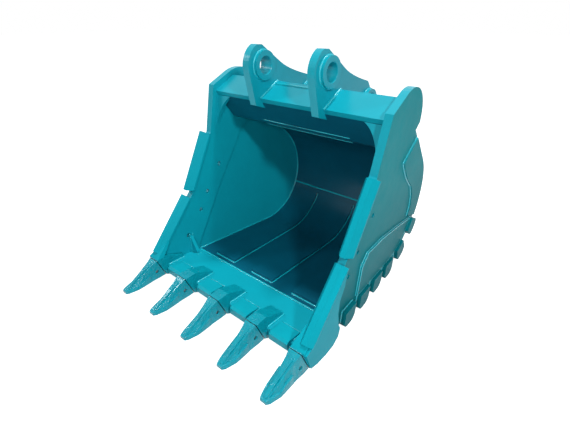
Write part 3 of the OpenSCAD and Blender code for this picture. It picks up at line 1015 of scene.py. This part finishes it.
@dataclass
class LipWelds:
    """Welds of the adapters and lip shrouds on the lip."""

    shape: SideShape
    material: bpy.types.Material
    adapter_half: float = 41
    adapter_back: float = 118
    adapter_front: float = 4
    adapter_flare: float = 1
    adapter_lift: float = 1
    shroud_half: float = 54
    shroud_back: float = 78
    shroud_leg: float = 60

    def build(self) -> None:
        """Lays a bead round the top leg of each adapter and of each shroud."""
        beads = WeldBeads("welds_on_lip")
        for i in (-2, -1, 0, 1, 2):
            self.lay_adapter(beads, i * self.shape.tooth_pitch)
        for i in (-1.5, -0.5, 0.5, 1.5):
            self.lay_shroud(beads, i * self.shape.tooth_pitch)
        beads.build(self.material)

    def lay_adapter(self, beads: WeldBeads, middle: float) -> None:
        """Lays the bead round an adapter's top leg, as far as the side bars leave room.

        Args:
            beads: the piece to lay it in.
            middle: x of the adapter's middle.
        """
        s = self.shape
        front, back = s.lip_y + self.adapter_front, s.lip_y + self.adapter_back
        half, back_half = self.adapter_half, self.adapter_half + self.adapter_flare
        outline = [(middle - half, front), (middle - back_half, back)]
        outline += [(middle + back_half, back), (middle + half, front)]
        inside = [p for p in outline if abs(p[0]) < s.side_x(p[1], s.lip_top, -s.bar_t)]
        beads.lay(flat_at(s.lip_top + self.adapter_lift, inside), PLATE_BEAD)

    def lay_shroud(self, beads: WeldBeads, middle: float) -> None:
        """Lays the bead round a lip shroud's top leg.

        Args:
            beads: the piece to lay it in.
            middle: x of the shroud's middle.
        """
        s = self.shape
        back = s.lip_y + self.shroud_back
        front = back - self.shroud_leg
        near, far = middle - self.shroud_half, middle + self.shroud_half
        beads.lay(flat_at(s.lip_top, [(near, front), (near, back), (far, back), (far, front)]), LIGHT_BEAD)


@dataclass(frozen=True)
class Camera:
    """The photograph's camera, solved as a level pinhole view, in millimetres and pixels.

    The clip distances are in metres.
    """

    place: tuple[float, float, float] = (1220.9, -1493.25, 232.65)
    ahead: tuple[float, float, float] = (-0.5725, 0.6639, -0.4812)
    focal_px: float = 385.077
    centre_px: tuple[float, float] = (280.045, 222.671)
    photo_px: tuple[int, int] = (570, 425)
    sensor: float = 36.0
    clip: tuple[float, float] = (0.05, 60.0)

    def build(self) -> None:
        """Makes the camera and sets it as the scene's."""
        data = bpy.data.cameras.new("camera")
        w, h = self.photo_px
        data.sensor_width = self.sensor
        data.lens = self.sensor * self.focal_px / w
        data.shift_x = (w / 2 - self.centre_px[0]) / w
        data.shift_y = (self.centre_px[1] - h / 2) / w
        data.clip_start, data.clip_end = self.clip
        camera = bpy.data.objects.new("camera", data)
        ahead = Vector(self.ahead).normalized()
        right = ahead.cross(Vector((0, 0, 1))).normalized()
        up = right.cross(ahead)
        turn = Matrix((right, up, -ahead)).transposed().to_4x4()
        camera.matrix_world = Matrix.Translation(Vector(self.place) * MM) @ turn
        bpy.context.scene.collection.objects.link(camera)
        bpy.context.scene.camera = camera


@dataclass(frozen=True)
class Lamp:
    """A soft square lamp aimed at the bucket."""

    name: str
    place: tuple[float, float, float]
    size: float
    watts: float
    colour: str = "FFFFFF"

    def build(self, target: Vector) -> None:
        """Hangs the lamp.

        Args:
            target: the point it faces, in metres.
        """
        data = bpy.data.lights.new(self.name, "AREA")
        data.shape = "SQUARE"
        data.size = self.size
        data.energy = self.watts
        data.color = linear(self.colour)[:3]
        lamp = bpy.data.objects.new(self.name, data)
        lamp.location = self.place
        lamp.rotation_mode = "QUATERNION"
        lamp.rotation_quaternion = (target - Vector(self.place)).to_track_quat("-Z", "Y")
        bpy.context.scene.collection.objects.link(lamp)


def direct_view(tree: Tree) -> Socket:
    """Tells the rays that see the surround from those that only light with it.

    Args:
        tree: the tree to add to.

    Returns:
        A socket that is 1 for camera, glossy and transmission rays.
    """
    rays = add_node(tree, "ShaderNodeLightPath")
    pair = add_node(
        tree,
        "ShaderNodeMath",
        {"operation": "MAXIMUM"},
        {0: rays.outputs["Is Camera Ray"], 1: rays.outputs["Is Glossy Ray"]},
    )
    return add_node(
        tree,
        "ShaderNodeMath",
        {"operation": "MAXIMUM"},
        {0: pair.outputs[0], 1: rays.outputs["Is Transmission Ray"]},
    ).outputs[0]


@dataclass(frozen=True)
class Studio:
    """A pale floor and a white surround with soft lamps, in metres."""

    ground: float
    floor_half: float = 30.0
    floor_below: float = 0.0005
    floor_colour: str = "C4C4C4"
    floor_glow: float = 0.95
    world_strength: float = 0.1
    lamps: tuple[Lamp, ...] = (
        Lamp("key lamp", (3.1, -1.7, 1.9), 0.3, 80),
        Lamp("top lamp", (0.5, 1.1, 6.0), 0.7, 340),
        Lamp("fill lamp", (1.5, -3.0, 0.9), 0.4, 38),
        Lamp("glint lamp", (-2.9, -1.9, 1.5), 0.25, 30),
    )

    def build(self) -> None:
        """Builds the floor, the world and the lamps."""
        bpy.context.scene.view_settings.view_transform = "Standard"
        self.floor()
        self.world()
        for lamp in self.lamps:
            lamp.build(Vector((0, 0, self.ground / 2)))

    def floor(self) -> None:
        """Lays the floor, which looks white wherever no shadow falls."""
        mesh = bpy.data.meshes.new("floor")
        r = self.floor_half
        mesh.from_pydata([(-r, -r, 0), (r, -r, 0), (r, r, 0), (-r, r, 0)], [], [(0, 1, 2, 3)])
        floor = bpy.data.objects.new("floor", mesh)
        floor.location = (0, 0, self.ground - self.floor_below)
        bpy.context.scene.collection.objects.link(floor)
        material, tree = fresh_tree("white studio floor")
        shader = add_node(
            tree,
            "ShaderNodeBsdfPrincipled",
            inputs={"Base Color": linear(self.floor_colour), "Roughness": 0.9},
        )
        seen = add_node(
            tree, "ShaderNodeMath", {"operation": "MULTIPLY"}, {0: direct_view(tree), 1: self.floor_glow}
        )
        glow = add_node(
            tree, "ShaderNodeEmission", inputs={"Color": (1, 1, 1, 1), "Strength": seen.outputs[0]}
        )
        both = add_node(tree, "ShaderNodeAddShader", inputs={0: shader.outputs[0], 1: glow.outputs[0]})
        add_node(tree, "ShaderNodeOutputMaterial", inputs={"Surface": both.outputs[0]})
        mesh.materials.append(material)

    def world(self) -> None:
        """Makes the surround: white to the eye and in reflections, dimmer as a light."""
        world = bpy.data.worlds.new("studio")
        bpy.context.scene.world = world
        world.use_nodes = True
        tree = world.node_tree
        tree.nodes.clear()
        seen = add_node(
            tree,
            "ShaderNodeMix",
            {"data_type": "FLOAT"},
            {0: direct_view(tree), 2: self.world_strength, 3: 1.0},
        )
        back = add_node(
            tree, "ShaderNodeBackground", inputs={"Color": (1, 1, 1, 1), "Strength": seen.outputs[0]}
        )
        add_node(tree, "ShaderNodeOutputWorld", inputs={"Surface": back.outputs[0]})


def main() -> None:
    """Dresses the bucket, lays its welds and sets up the studio."""
    logging.basicConfig(level=logging.INFO, format="%(name)s: %(message)s")
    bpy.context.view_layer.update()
    shape = SideShape()
    finishes = make_finishes()
    Plates(finishes).dress()
    BowlWelds(shape, finishes[Finish.WELD]).build()
    EarWelds(shape, finishes[Finish.WELD]).build()
    LipWelds(shape, finishes[Finish.WELD]).build()
    for side in (LEFT, RIGHT):
        OuterWelds(shape, finishes[Finish.WELD], side).build()
    Camera().build()
    Studio(shape.ground * MM).build()


if __name__ == "__main__":
    main()
